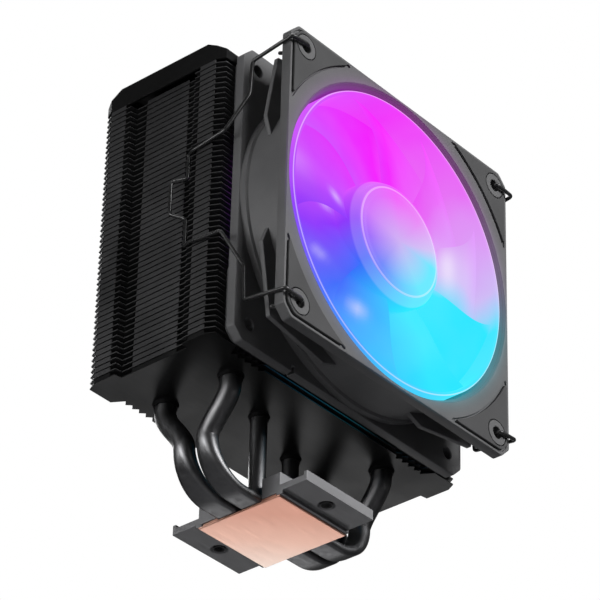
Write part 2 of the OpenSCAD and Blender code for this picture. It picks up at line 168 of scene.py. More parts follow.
def plate(outlines, thickness, edge):
    """A flat plate about Z = 0 from closed outlines, its holes among them, with round edges."""
    curve = bpy.data.curves.new("outline", "CURVE")
    curve.dimensions, curve.fill_mode = "2D", "BOTH"
    curve.extrude, curve.bevel_depth = thickness / 2 - edge, edge
    curve.offset, curve.bevel_resolution = -edge, 2
    for points in outlines:
        spline = curve.splines.new("POLY")
        spline.points.add(len(points) - 1)
        for slot, (x, y) in zip(spline.points, points):
            slot.co = (x, y, 0, 1)
        spline.use_cyclic_u = True
    obj = bpy.data.objects.new("outline", curve)
    bpy.context.scene.collection.objects.link(obj)
    shown = obj.evaluated_get(bpy.context.evaluated_depsgraph_get())
    mesh = bpy.data.meshes.new_from_object(shown)
    made = [v.co.copy() for v in mesh.vertices], [list(f.vertices) for f in mesh.polygons]
    bpy.data.objects.remove(obj)
    bpy.data.curves.remove(curve)
    bpy.data.meshes.remove(mesh)
    return made


def fan_plate(outlines, y0, y1, edge):
    """The same, facing the fan's front, from y0 to y1."""
    return moved(plate(outlines, y1 - y0, edge), fan_matrix((y0 + y1) / 2))


def circle(radius, centre=(0, 0), count=96):
    step = 2 * math.pi / count
    return arc(radius, 0, 360 - math.degrees(step), count - 1, centre)


def arc(radius, start, end, steps, centre=(0, 0)):
    """Points on an arc; angles in degrees."""
    angles = (math.radians(start + (end - start) * k / steps) for k in range(steps + 1))
    return [(centre[0] + radius * math.cos(a), centre[1] + radius * math.sin(a)) for a in angles]


def rounded(points, radius, steps=5):
    """The outline with its sharp corners rounded; gentle ones stay."""
    out = []
    for i, p in enumerate(points):
        a, b, c = Vector(points[i - 1]), Vector(p), Vector(points[(i + 1) % len(points)])
        to_a, to_c = (a - b), (c - b)
        if to_a.angle(to_c) > math.radians(160):
            out.append(tuple(b))
            continue
        start = b + to_a.normalized() * min(radius, to_a.length * 0.45)
        end = b + to_c.normalized() * min(radius, to_c.length * 0.45)
        for k in range(steps + 1):
            t = k / steps
            out.append(tuple(start * (1 - t) ** 2 + b * 2 * t * (1 - t) + end * t * t))
    return out


def cut_square(half, cut):
    """A square with its corners cut off."""
    h, c = half, half - cut
    return [(c, -h), (h, -c), (h, c), (c, h), (-c, h), (-h, c), (-h, -c), (-c, -h)]


def mirrored(points, sx, sy):
    turned = [(x * sx, y * sy) for x, y in points]
    return turned if sx * sy > 0 else turned[::-1]


QUARTERS = [(1, 1), (-1, 1), (-1, -1), (1, -1)]


def sweep(path, radius, sides):
    """A round wire along a path, its ends rounded off."""
    along = [
        (path[min(i + 1, len(path) - 1)] - path[max(i - 1, 0)]).normalized()
        for i in range(len(path))
    ]
    side = along[0].orthogonal().normalized()
    rings = []
    for i, (p, d) in enumerate(zip(path, along)):
        side = (side - d * side.dot(d)).normalized()
        other = d.cross(side)

        def ring(centre, r):
            turns = (2 * math.pi * j / sides for j in range(sides))
            return [centre + (side * math.cos(t) + other * math.sin(t)) * r for t in turns]

        if i == 0:
            rings += [ring(p - d * radius * math.sin(t), radius * max(math.cos(t), 0.05))
                      for t in (math.pi / 2, math.pi / 3, math.pi / 6)]
        rings.append(ring(p, radius))
        if i == len(path) - 1:
            rings += [ring(p + d * radius * math.sin(t), radius * max(math.cos(t), 0.05))
                      for t in (math.pi / 6, math.pi / 3, math.pi / 2)]
    return tube(rings)


# ---------------------------------------------------------------- materials

def linear(r, g, b):
    """A screen colour from 0 to 255 as scene colour."""
    def one(c):
        c /= 255
        return c / 12.92 if c <= 0.04045 else ((c + 0.055) / 1.055) ** 2.4
    return one(r), one(g), one(b), 1.0


IOR = 1.45


class Look:
    """A node material, built step by step."""

    def __init__(self, name, metallic=0.0, specular=0.5, coat=0.0, coat_roughness=0.1):
        self.take(bpy.data.materials.new(name))
        self.shader.inputs["Metallic"].default_value = metallic
        self.shader.inputs["Specular IOR Level"].default_value = specular
        self.shader.inputs["IOR"].default_value = IOR
        self.shader.inputs["Coat Weight"].default_value = coat
        self.shader.inputs["Coat Roughness"].default_value = coat_roughness

    @classmethod
    def of(cls, material):
        """Goes on with a material that was made before."""
        look = cls.__new__(cls)
        look.take(material)
        return look

    def take(self, material):
        self.material = material
        self.material.use_nodes = True
        self.tree = self.material.node_tree
        self.shader = self.tree.nodes["Principled BSDF"]
        self.place = self.node("ShaderNodeTexCoord").outputs["Object"]

    def node(self, kind, **values):
        made = self.tree.nodes.new(kind)
        for key, value in values.items():
            setattr(made, key, value)
        return made

    def link(self, source, target):
        self.tree.links.new(source, target)

    def feed(self, socket, value):
        if isinstance(value, bpy.types.NodeSocket):
            self.link(value, socket)
        else:
            socket.default_value = value

    def math(self, operation, a, b=0.0):
        made = self.node("ShaderNodeMath", operation=operation)
        for socket, value in zip(made.inputs, (a, b)):
            self.feed(socket, value)
        return made.outputs[0]

    def split(self):
        """The place on the object as its X, Y and Z, in metres."""
        made = self.node("ShaderNodeSeparateXYZ")
        self.link(self.place, made.inputs[0])
        return made.outputs["X"], made.outputs["Y"], made.outputs["Z"]

    def noise(self, scale, detail=3.0, roughness=0.5, stretch=(1, 1, 1)):
        stretched = self.node("ShaderNodeMapping")
        self.link(self.place, stretched.inputs["Vector"])
        stretched.inputs["Scale"].default_value = stretch
        made = self.node("ShaderNodeTexNoise")
        self.link(stretched.outputs[0], made.inputs["Vector"])
        made.inputs["Scale"].default_value = scale
        made.inputs["Detail"].default_value = detail
        made.inputs["Roughness"].default_value = roughness
        return made.outputs["Fac"]

    def ramp(self, value, stops):
        made = self.node("ShaderNodeValToRGB")
        elements = made.color_ramp.elements
        while len(elements) < len(stops):
            elements.new(0.5)
        for element, (at, colour) in zip(elements, stops):
            element.position, element.color = at, colour
        self.link(value, made.inputs["Fac"])
        return made.outputs["Color"]

    def range(self, value, low, high, from_low=0.3, from_high=0.7):
        made = self.node("ShaderNodeMapRange")
        self.link(value, made.inputs["Value"])
        made.inputs["From Min"].default_value = from_low
        made.inputs["From Max"].default_value = from_high
        made.inputs["To Min"].default_value = low
        made.inputs["To Max"].default_value = high
        return made.outputs["Result"]

    def mix(self, factor, a, b):
        """Mixes two colours; the node keeps its colour sockets at 6 and 7, and its colour out at 2."""
        made = self.node("ShaderNodeMix", data_type="RGBA")
        self.feed(made.inputs[0], factor)
        self.feed(made.inputs[6], a)
        self.feed(made.inputs[7], b)
        return made.outputs[2]

    def weighed(self, a, b, share):
        """Two values added, the first one with the share given and the other with the rest."""
        return self.math("ADD", self.math("MULTIPLY", a, share), self.math("MULTIPLY", b, 1 - share))

    def colour(self, value):
        self.feed(self.shader.inputs["Base Color"], value)

    def roughness(self, value):
        self.feed(self.shader.inputs["Roughness"], value)

    def bump(self, height, distance, strength):
        made = self.node("ShaderNodeBump")
        made.inputs["Strength"].default_value = strength
        made.inputs["Distance"].default_value = distance
        self.link(height, made.inputs["Height"])
        self.link(made.outputs["Normal"], self.shader.inputs["Normal"])


def moulded(name, dark, light, rough, grain=1700, depth=0.00006, specular=0.4, patch=60):
    """Moulded plastic: slow tone changes and a fine spark-eroded grain."""
    look = Look(name, specular=specular)
    fine = look.noise(grain, detail=2.0, roughness=0.6)
    slow = look.noise(patch, detail=4.0)
    look.colour(look.ramp(look.weighed(fine, slow, 0.35), [(0.35, dark), (0.65, light)]))
    look.roughness(look.range(fine, rough - 0.06, rough + 0.08))
    look.bump(fine, depth, strength=0.6)
    return look.material


# where the painted glow of the rotor's light on the frame starts to fade from the duct's mouth, how fast
# for each mm, and how bright
PAINTED_GLOW_FROM, PAINTED_GLOW_FADE, PAINTED_GLOW_STRENGTH = 58.5, 0.52, 0.13


def plastic_with_painted_glow(name, dark, light, rough):
    """Moulded plastic with a painted glow: emission paints the rotor's coloured light onto it round the
    duct's mouth.
    """
    material = moulded(name, dark, light, rough)
    look = Look.of(material)
    radius, turn, y = fan_polar(look)
    # painted glow: emission in the rotor's colours, fading past the duct's mouth, on the front face and
    # inside the duct
    past = look.math("SUBTRACT", radius, PAINTED_GLOW_FROM * MM)
    near = look.math("MINIMUM", look.math("EXPONENT", look.math("MULTIPLY", past, -PAINTED_GLOW_FADE / MM)), 1.0)
    front = look.math("LESS_THAN", y, (FRONT + 0.8) * MM)
    inside = look.math("LESS_THAN", radius, (DUCT_OUT - 0.4) * MM)
    painted_glow_amount = look.math("MULTIPLY", near, look.math("MAXIMUM", front, inside))
    look.link(colour_round(look, turn, RING_OF_LIGHT), look.shader.inputs["Emission Color"])
    look.link(look.math("MULTIPLY", painted_glow_amount, PAINTED_GLOW_STRENGTH), look.shader.inputs["Emission Strength"])
    return material


def copper_with_painted_reflection(name):
    """Ground copper with a painted reflection: its colour gets paler towards one corner."""
    look = Look(name, metallic=0.75)
    x, y, _ = look.split()
    # painted reflection: a ramp over X + Y lightens the copper to near white towards the +X +Y corner
    across = look.range(look.math("ADD", x, y), 0.0, 1.0, -0.018, 0.034)
    lines = look.noise(1400, detail=3.0, roughness=0.6, stretch=(0.05, 1, 1))
    tone = look.math("ADD", across, look.range(lines, -0.05, 0.05))
    look.colour(look.ramp(tone, [(0.0, linear(222, 160, 138)), (0.5, linear(238, 190, 170)),
                                 (1.0, linear(250, 226, 212))]))
    look.roughness(look.range(lines, 0.30, 0.38))
    look.bump(lines, 0.000006, strength=0.4)
    return look.material


def brushed(name, dark, light, rough, stretch, scale=900, metallic=1.0, depth=0.00003, coat=0.0):
    """Metal with fine lines across it and slow stains."""
    look = Look(name, metallic=metallic, coat=coat, coat_roughness=0.12)
    lines = look.noise(scale, detail=4.0, roughness=0.65, stretch=stretch)
    slow = look.noise(45, detail=3.0)
    look.colour(look.ramp(look.weighed(lines, slow, 0.5), [(0.32, dark), (0.68, light)]))
    look.roughness(look.range(lines, rough - 0.07, rough + 0.09))
    look.bump(lines, depth, strength=0.5)
    return look.material


def fan_polar(look):
    """Distance from the fan's axis, the turn round it, clockwise from the top, and the depth."""
    x, y, z = look.split()
    up = look.math("SUBTRACT", z, FAN_Z * MM)
    squares = look.math("ADD", look.math("MULTIPLY", x, x), look.math("MULTIPLY", up, up))
    return look.math("SQRT", squares), look.math("ARCTAN2", x, up), y


def colour_round(look, turn, stops):
    """Colour that goes round the fan's axis; the top lies at the middle of the ramp."""
    share = look.math("FRACT", look.math("ADD", look.math("MULTIPLY", turn, 0.5 / math.pi), 1.5))
    return look.ramp(share, stops)


def glow(name, stops, strength=1.0, white=0.0, spots=False, base=0.004, middle=None, twist=0.12,
         shoulder=None):
    """Milky resin lit from inside by coloured lights.

    twist turns the colours near the axis, middle is a colour that they run together to, and
    shoulder is the depth up to which the front of a piece is paler.
    """
    look = Look(name, specular=0.04)
    radius, turn, depth = fan_polar(look)
    clouds = look.noise(26, detail=3.0, roughness=0.45)
    twisted = look.range(radius, twist, 0.0, 24 * MM, 36 * MM)
    drift = look.math("ADD", look.range(clouds, -0.10, 0.10), twisted)
    colour = colour_round(look, look.math("ADD", turn, drift), stops)
    milk_and_painted_highlight = look.range(look.noise(60, detail=2.0), 0.0, 0.02)
    if middle:
        colour = look.mix(look.range(radius, 1.0, 0.0, 0.0, 17 * MM), colour, middle)
    # painted highlights: the light attribute whitens the glow where the lamps' reflections show
    if spots:
        painted_highlight = look.node("ShaderNodeAttribute", attribute_name="light").outputs["Fac"]
        milk_and_painted_highlight = look.math("ADD", milk_and_painted_highlight, painted_highlight)
    colour = look.mix(milk_and_painted_highlight, colour, MILK_AND_HIGHLIGHT_WHITE)
    if white:
        colour = look.mix(white, colour, RESIN_WHITE)
    if shoulder:
        band = look.range(depth, 0.10, 0.0, (shoulder - 0.3) * MM, (shoulder + 0.3) * MM)
        colour = look.mix(band, colour, RESIN_WHITE)
    look.colour((base, base, base, 1))
    look.roughness(look.range(clouds, 0.30, 0.40))
    look.link(colour, look.shader.inputs["Emission Color"])
    look.shader.inputs["Emission Strength"].default_value = strength
    return look.material


# the first white here whitens the resin's random milky lift and its painted highlights
MILK_AND_HIGHLIGHT_WHITE, RESIN_WHITE = linear(245, 235, 255), linear(255, 240, 255)
CYAN, AZURE, BLUE = linear(40, 230, 255), linear(40, 200, 255), linear(55, 105, 250)
VIOLET, ORCHID, MAGENTA = linear(140, 50, 250), linear(200, 75, 250), linear(240, 25, 250)
ROSE, LILAC = linear(230, 105, 245), linear(205, 185, 245)

# round the fan's axis, from the bottom up the left side to the top at 0.5 and down the right side
RING_OF_LIGHT = [(0.0, AZURE), (0.12, BLUE), (0.21, VIOLET), (0.3, ORCHID), (0.5, MAGENTA),
                 (0.62, ROSE), (0.72, LILAC), (0.78, CYAN), (0.92, CYAN), (1.0, AZURE)]
CAP_MILK = 0.12
RING_PALE = [(at, tuple(c + (1 - c) * CAP_MILK for c in colour)) for at, colour in RING_OF_LIGHT]


def fin_black(name, dark, light, rough, specular):
    """Anodised sheet with faint rolling lines and a slightly uneven coat."""
    look = Look(name, metallic=0.55, specular=specular)
    lines = look.noise(700, detail=3.0, roughness=0.6, stretch=(0.12, 1, 1))
    slow = look.noise(38, detail=4.0)
    look.colour(look.ramp(look.weighed(lines, slow, 0.4), [(0.35, dark), (0.65, light)]))
    look.roughness(look.range(slow, rough - 0.05, rough + 0.08))
    look.bump(lines, 0.00002, strength=0.4)
    return look.material


def grey(v):
    """A grey with the slightest touch of blue."""
    return v, v, v * 1.03, 1.0


def make_materials():
    return {
        "copper": copper_with_painted_reflection("copper"),
        "machined_aluminium": brushed("machined_aluminium", grey(0.15), grey(0.20), 0.55,
                                      stretch=(0.06, 1, 1), scale=1500, metallic=0.6, depth=0.00003),
        "pipe_nickel": brushed("pipe_nickel", grey(0.105), grey(0.145), 0.38,
                               stretch=(1, 1, 0.1), scale=500, depth=0.00001),
        "fin_black": fin_black("fin_black", grey(0.040), grey(0.060), 0.42, 0.35),
        "fin_black_gloss": fin_black("fin_black_gloss", grey(0.012), grey(0.018), 0.34, 0.1),
        "cover_black": fin_black("cover_black", grey(0.007), grey(0.011), 0.55, 0.06),
        # the frame's plastic carries a painted glow of the rotor's light round the duct's mouth
        "fan_frame_plastic": plastic_with_painted_glow("fan_frame_plastic", grey(0.075), grey(0.098), 0.55),
        "pad_rubber": moulded("pad_rubber", grey(0.044), grey(0.058), 0.68, grain=2300,
                              specular=0.3),
        "bearing_bronze": brushed("bearing_bronze", (0.42, 0.28, 0.12, 1), (0.62, 0.42, 0.2, 1),
                                  0.4, stretch=(1, 0.1, 1)),
        "black_plastic": moulded("black_plastic", grey(0.015), grey(0.03), 0.5),
        "lamination_steel": brushed("lamination_steel", grey(0.35), grey(0.55), 0.38,
                                    stretch=(0.1, 3, 0.1), scale=1800),
        "copper_wire": brushed("copper_wire", (0.45, 0.14, 0.04, 1), (0.8, 0.34, 0.12, 1), 0.3,
                               stretch=(0.2, 3, 0.2), scale=1500, coat=0.5),
        "board_green": moulded("board_green", (0.01, 0.09, 0.03, 1), (0.02, 0.16, 0.05, 1), 0.35,
                               grain=900),
        "board_white": moulded("board_white", grey(0.62), grey(0.75), 0.4, grain=900),
        "led_lens": glow("led_lens", RING_PALE, 1.3, white=0.3, base=0.5),
        "label_grey": brushed("label_grey", grey(0.16), grey(0.22), 0.45, stretch=(1, 1, 1),
                              scale=600, metallic=0.0),
        "ground_steel": brushed("ground_steel", grey(0.5), grey(0.7), 0.22, stretch=(1, 0.08, 1)),
        "yoke_steel": brushed("yoke_steel", grey(0.4), grey(0.55), 0.35, stretch=(1, 0.2, 1)),
        "magnet_black": moulded("magnet_black", grey(0.03), grey(0.05), 0.6, grain=1200),
        "rotor_translucent": glow("rotor_translucent", RING_OF_LIGHT, white=0.03),
        # the rim glows whiter and brighter than the rest of the rotor: painted highlight lines on the
        # band's lip and the cap's bead
        "rotor_rim": glow("rotor_rim", RING_OF_LIGHT, 1.05, white=0.34),
        "rotor_cup": glow("rotor_cup", RING_OF_LIGHT, twist=-0.15, shoulder=HUB_LOW.y + 2.6),
        "cap_translucent": glow("cap_translucent", RING_PALE, middle=linear(206, 176, 244)),
        "blade_translucent": glow("blade_translucent", RING_OF_LIGHT, spots=True, twist=-0.15),
        "spring_wire": brushed("spring_wire", grey(0.018), grey(0.032), 0.3, stretch=(1, 1, 0.2),
                               scale=600, metallic=0.4, coat=0.3),
    }


MATERIALS = make_materials()


def dress_cad_nodes():
    """Gives every carried-over CAD node the material of its slot."""
    for row in frame["record"]["subparts"]:
        obj = NODES[row["node"]]
        obj.data.materials.clear()
        obj.data.materials.append(MATERIALS[row["material_slot"]])


def soften(node, width, segments=3, angle=32):
    """Rounds the hard edges of a CAD node as it shows, by modifiers only."""
    obj = NODES[node]
    weld = obj.modifiers.new("weld", "WELD")
    weld.merge_threshold = 0.000002
    bevel = obj.modifiers.new("bevel", "BEVEL")
    bevel.width, bevel.segments = width * MM, segments
    bevel.limit_method, bevel.angle_limit = "ANGLE", math.radians(angle)
    bevel.harden_normals = True
    bevel.use_clamp_overlap = True


# ---------------------------------------------------------------- camera, floor, lights

CAMERA_PLACE = Vector((-0.7467, -0.6685, -0.5709))
CAMERA_AIM = Vector((0.62465, 0.55104, 0.55333))
CAMERA_ROLL = 1.516
CAMERA_LENS = 204.06
FLOOR_DROP, FLOOR_HALF = 0.78, 6.0


def make_camera():
    data = bpy.data.cameras.new("camera")
    data.sensor_width, data.lens = 36, CAMERA_LENS
    data.clip_start, data.clip_end = 0.05, 50
    camera = bpy.data.objects.new("camera", data)
    bpy.context.scene.collection.objects.link(camera)
    turn = CAMERA_AIM.to_track_quat("-Z", "Y").to_matrix().to_4x4()
    roll = Matrix.Rotation(math.radians(CAMERA_ROLL), 4, "Z")
    camera.matrix_world = Matrix.Translation(CAMERA_PLACE) @ turn @ roll
    bpy.context.scene.camera = camera


def make_floor():
    """A pale floor well below the object, because the camera looks up at it.

    The camera sees it nearly white, and it throws back light as a grey floor does.
    """
    mesh = bpy.data.meshes.new("floor")
    corners = [(sx * FLOOR_HALF, sy * FLOOR_HALF, -FLOOR_DROP) for sx, sy in QUARTERS]
    mesh.from_pydata(corners, [], [(0, 1, 2, 3)])
    floor = bpy.data.objects.new("floor", mesh)
    bpy.context.scene.collection.objects.link(floor)
    look = Look("floor_paper", specular=0.1)
    look.colour(look.ramp(look.noise(6, detail=5.0), [(0.3, grey(0.36)), (0.7, grey(0.40))]))
    look.roughness(0.9)
    shown = look.node("ShaderNodeEmission")
    shown.inputs["Color"].default_value = linear(249, 249, 250)
    mix = look.node("ShaderNodeMixShader")
    look.link(look.node("ShaderNodeLightPath").outputs["Is Camera Ray"], mix.inputs[0])
    look.link(look.shader.outputs[0], mix.inputs[1])
    look.link(shown.outputs[0], mix.inputs[2])
    look.link(mix.outputs[0], look.tree.nodes["Material Output"].inputs["Surface"])
    floor.data.materials.append(look.material)


def area_light(name, place, aim, width, height, power, spread=180):
    data = bpy.data.lights.new(name, "AREA")
    data.shape, data.size, data.size_y = "RECTANGLE", width, height
    data.energy, data.spread = power, math.radians(spread)
    light = bpy.data.objects.new(name, data)
    bpy.context.scene.collection.objects.link(light)
    light.location = place
    light.rotation_mode = "QUATERNION"
    light.rotation_quaternion = (Vector(aim) - Vector(place)).to_track_quat("-Z", "Y")


def make_lights():
    middle = (0, 0, 0.09)
    area_light("key_front", (0.25, -1.7, 0.75), middle, 1.3, 1.0, 11.5, spread=80)
    area_light("fill_left", (-1.5, 0.05, 0.05), middle, 1.0, 0.9, 2.0, spread=80)
    area_light("card_left_low", (-0.50, 0.16, 0.05), (-0.06, 0.0, 0.055), 0.24, 0.12, 0.09, spread=50)
    area_light("pool_under_base", (0.97, 0.87, -0.70), (0.0, 0.0, 0.0), 0.5, 0.45, 0.215, spread=60)
    area_light("top", (0.1, 0.3, 1.9), middle, 1.4, 1.2, 3, spread=60)
    area_light("back", (0.7, 1.6, 1.35), middle, 1.2, 1.0, 3.6, spread=70)


def make_world():
    """White for the camera and a softer grey for the light it gives."""
    world = bpy.data.worlds.new("studio")
    world.use_nodes = True
    nodes, links = world.node_tree.nodes, world.node_tree.links
    shown = nodes["Background"]
    shown.inputs["Color"].default_value = (1, 1, 1, 1)
    given = nodes.new("ShaderNodeBackground")
    given.inputs["Color"].default_value = (1, 1, 1, 1)
    given.inputs["Strength"].default_value = 0.06
    path = nodes.new("ShaderNodeLightPath")
    mix = nodes.new("ShaderNodeMixShader")
    links.new(path.outputs["Is Camera Ray"], mix.inputs["Fac"])
    links.new(given.outputs[0], mix.inputs[1])
    links.new(shown.outputs[0], mix.inputs[2])
    links.new(mix.outputs[0], nodes["World Output"].inputs["Surface"])
    bpy.context.scene.world = world
    bpy.context.scene.view_settings.view_transform = "Standard"


# ---------------------------------------------------------------- fan frame

FLANGE_FRONT, FLANGE_REAR = 4.0, 3.6
CHAMFER = 4.1
WEB_Y, WEB_T = BACK - 12.5, 1.8
WEB_TIP, WEB_KNEE, WEB_CORNER = 19.0, (26.0, 58.1), 53.4
BASE_R, STRUT_W = 25.0, 4.5
TUBE_IN, TUBE_OUT, TUBE_DEEP = 3.02, 4.6, 16.9
BOSS_R, BOSS_H = 4.7, 2.6


NOTCH_X, NOTCH_W, NOTCH_DEEP = -30.0, 1.4, 2.4


def frame_outline(notch=False):
    """The frame's square with cut corners; its lower edge may have the notch for a cable."""
    points = rounded(cut_square(FAN_HALF, CHAMFER), 0.8)
    if notch:
        on_edge = [i for i, (x, z) in enumerate(points) if z < -FAN_HALF + 0.01]
        at = min(on_edge, key=lambda i: points[i][0])
        left, right = NOTCH_X - NOTCH_W / 2, NOTCH_X + NOTCH_W / 2
        low, top = -FAN_HALF, -FAN_HALF + NOTCH_DEEP
        cut = [(left, low), (left, top), (right, top), (right, low)]
        points = points[:at + 1] + cut + points[at + 1:]
    return points


def screw_hole(sx, sz, radius=HOLE_R, count=40):
    return circle(radius, (sx * HOLE, sz * HOLE), count)


def web_outline():
    """Corner brace between the flanges, from the duct out to the frame's corner."""
    inner = DUCT_OUT - 0.5
    low = math.degrees(math.asin(WEB_TIP / inner))
    foot = inner * math.cos(math.radians(low)) + 0.4
    half = [(WEB_TIP, foot), WEB_KNEE, (WEB_CORNER, WEB_CORNER)]
    corners = half + [(z, x) for x, z in half[1::-1]]
    return rounded(corners, 0.5) + arc(inner, low, 90 - low, 24)


PAD_GROOVE, RECESS_DEEP = 0.5, 0.75
PAD_INSET, PAD_ARC_R, PAD_BLUNT, PAD_HOLE_R = 1.6, 65.2, 1.6, 5.0


def pad_outline(grow=0.0):
    """One corner pad: the frame's corner, cut by an arc about the fan's axis."""
    side, cut, arc_r = FAN_HALF - PAD_INSET + grow, CHAMFER - 0.6, PAD_ARC_R - grow
    low = math.degrees(math.acos(side / arc_r))
    blunt = low + PAD_BLUNT
    tip = arc_r * math.sin(math.radians(low)) + PAD_BLUNT
    points = arc(arc_r, 90 - blunt, blunt, 26)
    points += [(side, tip), (side, side - cut), (side - cut, side), (tip, side)]
    return rounded(points, 1.5)


def duct():
    """The duct's wall, its cone at the mouth and its collar at the rear flange."""
    mouth = [(DUCT_IN, BACK - 0.05), (DUCT_IN, FRONT + 2.4), (DUCT_IN + 0.15, FRONT + 2.1),
             (BEZEL_R - 0.1, FRONT + 0.15), (BEZEL_R + 0.4, FRONT + 0.5)]
    outside = [(BEZEL_R + 0.4, FRONT + FLANGE_FRONT - 0.3), (DUCT_OUT, FRONT + FLANGE_FRONT + 0.5),
               (DUCT_OUT, BACK - 6.6), (DUCT_OUT + 0.9, BACK - 6.0),
               (DUCT_OUT + 0.9, BACK - FLANGE_REAR + 0.3), (DUCT_OUT, BACK - 0.05)]
    return fan_lathe(mouth + outside, 192)


def corner_boss(sx, sz):
    """The short tube round a screw hole, behind the front pad."""
    boss = [(HOLE_R, 0.2), (HOLE_R, BOSS_H), (BOSS_R, BOSS_H), (BOSS_R, 0.15), (BOSS_R - 0.15, 0),
            (HOLE_R + 0.2, 0)]
    turned = moved(lathe([(r, -h) for r, h in boss], 48), Matrix.Rotation(math.pi / 2, 4, "X"))
    place = (sx * HOLE, PAD_FRONT - 0.05, FAN_Z + sz * HOLE)
    return moved(turned, Matrix.Translation(place))


def strut(angle):
    """One of the arms that hold the motor's base; wider where they meet the base."""
    reach, w = DUCT_IN + 0.6, STRUT_W / 2
    upper = [(BASE_R - 1, -w - 0.8), (BASE_R + 6, -w), (reach, -w + 0.5)]
    arm = upper + [(x, -z) for x, z in reversed(upper)]
    turn = Matrix.Rotation(math.radians(angle), 4, "Z")
    return moved(moved(plate([arm], FLANGE_REAR, 0.5), turn), fan_matrix(BACK - FLANGE_REAR / 2))


def motor_base():
    """The round base with a shallow groove round its label, and the tube for the bearing."""
    rear = [(TUBE_IN, BACK - TUBE_DEEP), (TUBE_IN, BACK - 0.3), (TUBE_IN + 0.58, BACK), (21.2, BACK),
            (21.5, BACK - 0.35), (22.4, BACK - 0.35), (22.7, BACK), (BASE_R - 0.5, BACK)]
    front = [(BASE_R, BACK - 0.5), (BASE_R, BACK - FLANGE_REAR), (TUBE_OUT, BACK - FLANGE_REAR),
             (TUBE_OUT, BACK - TUBE_DEEP)]
    return fan_lathe(rear + front, 128)


def build_fan_frame():
    shape = Shape()
    holes = [screw_hole(sx, sz) for sx, sz in QUARTERS]
    recesses = [mirrored(pad_outline(PAD_GROOVE), sx, sz) for sx, sz in QUARTERS]
    shape.add(fan_plate([frame_outline(), circle(BEZEL_R, count=192)] + recesses,
                        FRONT, FRONT + FLANGE_FRONT, 0.3))
    shape.add(fan_plate([frame_outline(True), circle(DUCT_IN + 0.4, count=192)] + holes,
                        BACK - FLANGE_REAR, BACK, 0.3))
    shape.add(duct())
    for sx, sz in QUARTERS:
        shape.add(fan_plate([mirrored(web_outline(), sx, sz)],
                            WEB_Y - WEB_T / 2, WEB_Y + WEB_T / 2, 0.25))
        floor = mirrored(pad_outline(PAD_GROOVE + 0.4), sx, sz)
        shape.add(fan_plate([floor, screw_hole(sx, sz)],
                            FRONT + RECESS_DEEP, FRONT + FLANGE_FRONT - 0.5, 0.1))
        shape.add(corner_boss(sx, sz))
    for k in range(4):
        shape.add(strut(45 + 90 * k))
    shape.add(motor_base())
    piece("fan_frame_moulding", shape, "tower", [MATERIALS["fan_frame_plastic"]],
          ["fan_frame"])


def build_pads():
    for name, node, y0, y1, edge in (
        ("corner_pads_front", "front_corner_pads", PAD_FRONT, FRONT + RECESS_DEEP, 0.2),
        ("corner_pads_rear", "rear_corner_pads", BACK + 0.02, PAD_BACK, 0.35),
    ):
        shape = Shape()
        for sx, sz in QUARTERS:
            outline = mirrored(pad_outline(), sx, sz)
            shape.add(fan_plate([outline, screw_hole(sx, sz, PAD_HOLE_R, 48)], y0, y1, edge))
        piece(name, shape, "tower", [MATERIALS["pad_rubber"]], [node])


# ---------------------------------------------------------------- rotor

BLADES = 9
BLADE_CHORD, BLADE_PITCH = (46.0, 68.0), (12.0, 9.5)
BLADE_SWEEP, BLADE_CAMBER, BLADE_BELLY = 30.0, 0.05, 12.0
BLADE_Y = HUB_LOW.y + 8.0
BLADE_HALF, BLADE_EDGE = (1.0, 0.65), 0.2
RING_IN = RING_R - 1.6
CAP_R = 20.7


def between(pair, t):
    return pair[0] + (pair[1] - pair[0]) * t


def blade_point(span, along, side):
    """A point of a blade, in millimetres, from the hub at span 0 to the ring at 1."""
    r = between((HUB_R - 0.3, RING_IN + 0.3), span)
    chord = between(BLADE_CHORD, span) + 4 * BLADE_BELLY * span * (1 - span)
    pitch = math.radians(between(BLADE_PITCH, span))
    camber = chord * BLADE_CAMBER * (1 - 4 * along * along)
    half = BLADE_EDGE + (between(BLADE_HALF, span) - BLADE_EDGE) * (1 - abs(2 * along) ** 3)
    half *= math.sqrt(max(1 - abs(2 * along) ** 8, 0.0)) * 0.999 + 0.001
    across = along * chord * math.cos(pitch) - camber * math.sin(pitch)
    depth = along * chord * math.sin(pitch) + camber * math.cos(pitch)
    angle = across / r - math.radians(BLADE_SWEEP) * span * span
    return Vector((r * math.sin(angle), BLADE_Y + depth + side * half, r * math.cos(angle)))


# painted highlights on the blades, white spots where the lamps' reflections show, seen from the front:
# across, up, size and strength
PAINTED_HIGHLIGHT_SPOTS = [(-28, 6, 2.8, 0.40), (-36, -21, 2.8, 0.28), (-15, -33, 3.2, 0.40),
               (31, 9, 5.0, 0.5), (34, 4, 5.0, 0.3), (-48, 14, 8.0, 0.14), (42, 12, 9.0, 0.2)]


def blade():
    """One blade as a tube of section rings."""
    spans, chords = 22, 30
    places = [math.sin(math.pi / 2 * (2 * j / chords - 1)) / 2 for j in range(chords + 1)]
    ring = [(a, -1) for a in places] + [(a, 1) for a in reversed(places)]
    return tube([[blade_point(i / spans, a, s) for a, s in ring] for i in range(spans + 1)])


# strength of the painted highlights at a point of a blade
def painted_highlight_at(point):
    return sum(strength * math.exp(-((point.x - x) ** 2 + (point.z - FAN_Z - z) ** 2) / size ** 2)
               for x, z, size, strength in PAINTED_HIGHLIGHT_SPOTS)


